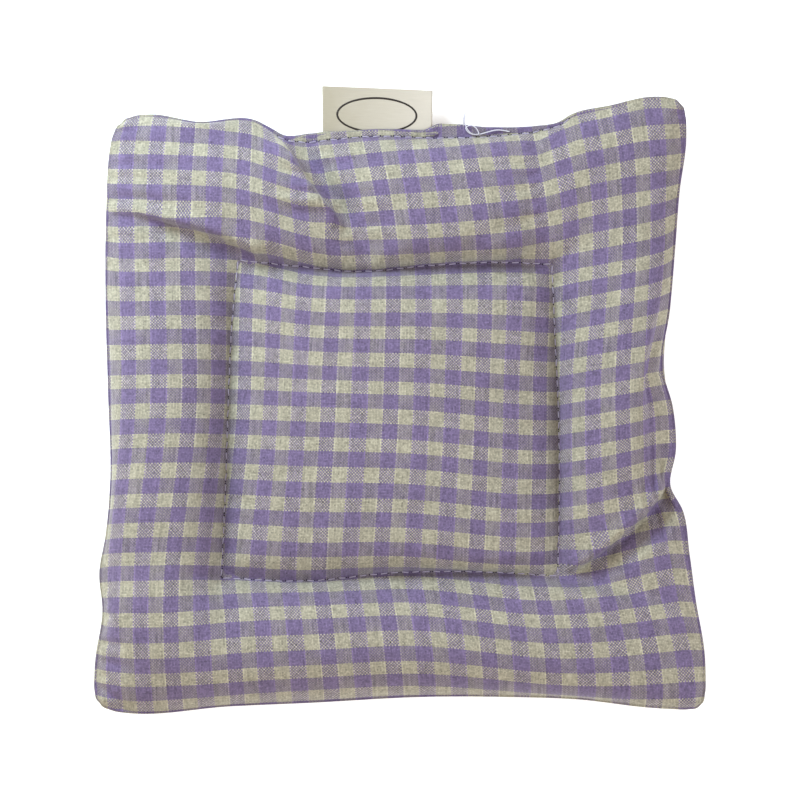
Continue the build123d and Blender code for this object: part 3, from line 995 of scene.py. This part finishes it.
def gingham():
    """Gingham woven of cream and purple cotton yarn."""
    m = Material("gingham_cotton", 0.88, 0.2)
    where, u, v = m.cloth()
    warp, weft, over, height = plain_weave(m, u, v, YARN)
    warp_turn, warp_cream = stripes_of(m, warp, *WARP_STRIPES)
    weft_cream = stripes_of(m, weft, *WEFT_STRIPES)[1]
    mixed = m.math("ABSOLUTE", m.minus(warp_cream, weft_cream))
    on_warp, on_weft = m.times(mixed, warp_cream), m.times(mixed, weft_cream)

    cloud = m.minus(m.noise(where, 0.11), 0.5)
    cream = m.times(m.mix(over, weft_cream, warp_cream), m.minus(1.0, m.times(on_warp, CREAM_LOST)))
    cream = m.plus(cream, m.times(on_warp, CREAM_LEAST))
    cream = m.plus(cream, m.times(mixed, m.times(cloud, CREAM_CLOUD)))
    cream = m.node("ShaderNodeClamp", 0, {0: cream})

    slub = yarn_slubs(m, u, v, warp, weft, over)
    fleck = m.node("ShaderNodeTexWhiteNoise", 0, {"Vector": m.place(warp, weft)}, noise_dimensions="2D")
    streak = m.noise(m.place(m.times(u, 2.1), m.times(v, 0.06), 3.0), 1.0, 1.0)
    streaked = m.plus(STREAK, m.times(on_warp, STREAK_ON_WARP))
    speckle = m.minus(m.noise(where, 1.4), 0.5)
    at_border = m.math("LESS_THAN", m.math("ABSOLUTE", m.math("COSINE", warp_turn)), BORDER_WIDTH)
    border = m.times(at_border, m.noise(m.place(warp, m.times(v, 0.1), 9.0), 1.0, 1.0))
    uneven = [
        (slub, SLUB), (fleck, FLECK), (m.noise(where, 0.06, 3.0), WORN), (m.minus(streak, 0.2), streaked),
        (speckle, 1.0), (border, BORDER), (m.times(on_weft, cluster_dots(m, where, u, v)), CLUSTER_LIGHT),
    ]
    light = YARN_BASE
    for part, weight in uneven:
        light = m.plus(light, m.times(part, weight))
    # Painted shade between the yarns: each yarn is darker towards its edges, following its dome height.
    light = m.times(light, m.plus(0.66, m.times(height, 0.44)))
    light = m.times(light, m.minus(0.98, m.times(on_warp, WARP_SHADE)))
    colour = m.shade(m.blend(cream, PURPLE_YARN, CREAM_YARN), light)
    return m.finish(colour, m.plus(height, m.times(slub, 0.5)), 0.12, 0.5)


def tape():
    """Fine cream cotton tape, woven closer than the cover, with painted shade that darkens it towards its
    left end.
    """
    m = Material("label_tape", 0.8, 0.15)
    where, u, v = m.cloth()
    _, weft, _, height = plain_weave(m, u, v, TAPE_YARN)
    slub = m.noise(m.place(m.times(u, 0.2), m.times(weft, 1.3)), 1.0)
    cloud = m.noise(where, 0.12, 3.0)
    light = m.plus(0.80, m.times(slub, 0.14))
    light = m.plus(light, m.times(cloud, 0.12))
    # Painted shade between the yarns of the tape, following their dome height.
    light = m.times(light, m.plus(0.88, m.times(height, 0.14)))
    # Painted shade: the tape is blended towards a darker colour from its right end to its left end, made
    # uneven by the cloud noise.
    ends = {0: u, 1: LABEL_WIDTH / 2, 2: -LABEL_WIDTH / 2, 3: 0.0, 4: 1.0}
    painted_shade = m.node("ShaderNodeMapRange", 0, ends)
    painted_shade = m.times(painted_shade, m.plus(0.6, m.times(cloud, 0.8)))
    colour = m.shade(m.blend(painted_shade, TAPE_COLOUR, TAPE_PAINTED_SHADE), light)
    return m.finish(colour, height, 0.05, 0.5)


def thread(name, light_colour, dark_colour):
    """Sewing thread of two plies twisted together, with painted shade in the grooves between them."""
    m = Material(name, 0.55, 0.1)
    where, run, round_it = m.cloth()
    # Painted shade: the thread is blended to its darker colour in the grooves between its twisted plies,
    # with fuzz noise mixed in.
    twist = m.math("SINE", m.times(m.plus(m.times(run, 1.6), round_it), 4 * math.pi))
    ply = m.plus(0.5, m.times(twist, 0.5))
    hair = m.noise(where, 9.0, 3.0)
    share = m.times(m.plus(ply, hair), 0.5)
    return m.finish(m.blend(share, dark_colour, light_colour), ply, 0.05, 0.6)


def speckled(name, dark_colour, light_colour, roughness, scale):
    """A surface with a fine grain of two near colours, for ink, the painted shade in needle holes, and the
    floor.
    """
    m = Material(name, roughness)
    where = m.node("ShaderNodeTexCoord", "Object")
    grain = m.noise(where, scale, 4.0)
    return m.finish(m.blend(grain, dark_colour, light_colour), grain, 0.02, 0.3)


def floor_paint():
    """Pale studio floor with a painted glow: it emits a little light, which washes out the shadows on it and
    lights the pillow from below.
    """
    m = Material("studio_floor", 0.9)
    grain = m.noise(m.node("ShaderNodeTexCoord", "Object"), 4.0)
    # Painted glow: the floor emits light though it is no lamp.
    m.shader.inputs["Emission Color"].default_value = FLOOR_COLOUR
    m.shader.inputs["Emission Strength"].default_value = FLOOR_GLOW
    return m.finish(m.blend(grain, FLOOR_COLOUR, FLOOR_BRIGHT), grain, 0.02, 0.1)


# ---- threads, floor, light and camera
def loose_thread(surface, material):
    """The end of the closing thread: it leaves the stitches, curls once, lies over the flange and frays."""
    x, y = LOOSE_END
    z = surface.height(x, y - 0.6)
    path = smooth_curve([(x + across, y + along, above) for across, along, above in LOOSE_WAY], 90)
    ground = np.array([surface.height(a, b) for a, b in path[:, :2]])
    ground = np.maximum(ground, z - 1.0)
    path[:, 2] += np.convolve(np.pad(ground, 6, mode="edge"), np.full(13, 1 / 13), mode="valid")
    rods = Rods()
    rods.add(path, np.linspace(THREAD_RADIUS, 0.75 * THREAD_RADIUS, len(path)))
    for k in range(FRAY_HAIRS):
        lean = 0.35 * (k - FRAY_HAIRS // 2)
        top = (x - 2.3 + 0.5 * lean, y + 4.2 + 1.7 * math.cos(0.5 * lean) + 0.5 * math.sin(5.1 * k))
        base = (x - 3.0 + 0.15 * lean, y + 1.6)
        hair = smooth_curve([(*base, 0.9), (x - 2.9 + 0.3 * lean, y + 3.1, 1.1), (*top, 0.5)], 12)
        hair[:, 2] += z
        rods.add(hair, np.linspace(0.12, 0.06, 12), 5)
    return rods.piece("thread_tail_curl", material, "pillow", "thread")


def floor_piece():
    """The table top that the pillow lies on."""
    line = np.linspace(-FLOOR_HALF, FLOOR_HALF, FLOOR_LINES)
    points = [(x, y, FLOOR_LEVEL) for y in line for x in line]
    mesh = bpy.data.meshes.new("floor")
    mesh.from_pydata(points, [], grid_quads(FLOOR_LINES, FLOOR_LINES))
    mesh.materials.append(floor_paint())
    new_object("floor", mesh)


def area_light(name, place, size, power, colour):
    """A soft square light that shines at the pillow."""
    light = bpy.data.lights.new(name, "AREA")
    light.shape = "SQUARE"
    light.size = size
    light.energy = power
    light.color = colour
    lamp = new_object(name, light)
    lamp.location = place
    lamp.rotation_euler = (-Vector(place)).to_track_quat("-Z", "Y").to_euler()


def camera_over(width, distance):
    """A long-lens camera straight above, that takes in the given width at the seam's height."""
    lens = bpy.data.cameras.new("camera")
    lens.sensor_width = SENSOR
    lens.lens = SENSOR * distance / width
    lens.clip_end = 10.0
    camera = new_object("camera", lens)
    camera.location = (0, 0, distance + SEAM_Z * MM)
    bpy.context.scene.camera = camera


def studio():
    """Floor, cool light from both sides and the upper left over a warm room, and the camera."""
    floor_piece()
    for name, place, size, power, colour in LAMPS:
        area_light(name, place, size, power, colour)
    world = bpy.data.worlds.new("studio")
    world.use_nodes = True
    background = world.node_tree.nodes["Background"].inputs
    background[0].default_value = WORLD_COLOUR
    background[1].default_value = WORLD_LIGHT
    bpy.context.scene.world = world
    bpy.context.scene.view_settings.view_transform = "Standard"
    camera_over(VIEW_WIDTH, VIEW_DISTANCE)


# ---- the pillow
def make_panel(name, points, flat, side, cloth, needle, dark):
    """One panel of the cover, with its quilting, its closing stitches and dark cups of painted shade in
    their needle holes. Returns its outer face."""
    cover = finish_piece(name + "_cover", cover_mesh(name, points, flat, side), cloth, "pillow")
    thicken(cover, CLOTH)
    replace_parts(cover, *COVER_NODES[name])
    surface = Surface(cover, side)
    holes = Rods()
    top = points[-1][:, :2] - (0, 0.15)
    sewn = (top[:, 0] > SEWN_FROM) & (top[:, 0] < SEWN_TO)
    for kind, lines, lift in (("quilting", quilt_lines(points, flat), QUILTING_LIFT),
                              ("closing", [top[sewn]], CLOSING_LIFT)):
        rods = Rods()
        for line in lines:
            stitch_row(rods, holes, surface, line, lift)
        stitches = rods.piece(name + "_" + kind, needle, "pillow", "thread")
        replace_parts(stitches, kind + THREAD_NODES[name])
    holes.piece(name + "_needle_holes", dark, "pillow", "thread")
    return surface


def make_pillow():
    """The two panels of the cover, and the loose end of the closing thread."""
    front, back, flat = settled_panels()
    cloth = gingham()
    needle = thread("lilac_thread", THREAD_LIGHT, THREAD_PLY_SHADE)
    frayed = thread("frayed_thread", FRAY_LIGHT, FRAY_PLY_SHADE)
    # Near-black material for the painted shade in the needle holes
    dark = speckled("needle_hole_shade", HOLE_SHADE_DARK, HOLE_SHADE_PALE, 0.95, 2000.0)
    surface = make_panel("front", front, flat, 1, cloth, needle, dark)
    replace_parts(loose_thread(surface, frayed), "thread_tail")
    make_panel("back", back, flat, -1, cloth, needle, dark)


def make_label():
    """The label and its printed oval."""
    ribbon = label_piece(tape())
    oval = label_ring(Surface(ribbon, 1), speckled("brown_ink", INK_DARK, INK_LIGHT, 0.6, 3000.0))
    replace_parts(ribbon, "label_tail", "label_flap")
    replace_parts(oval, "label_print")
    for piece in (ribbon, oval):
        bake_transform(piece)


make_pillow()
make_label()
studio()
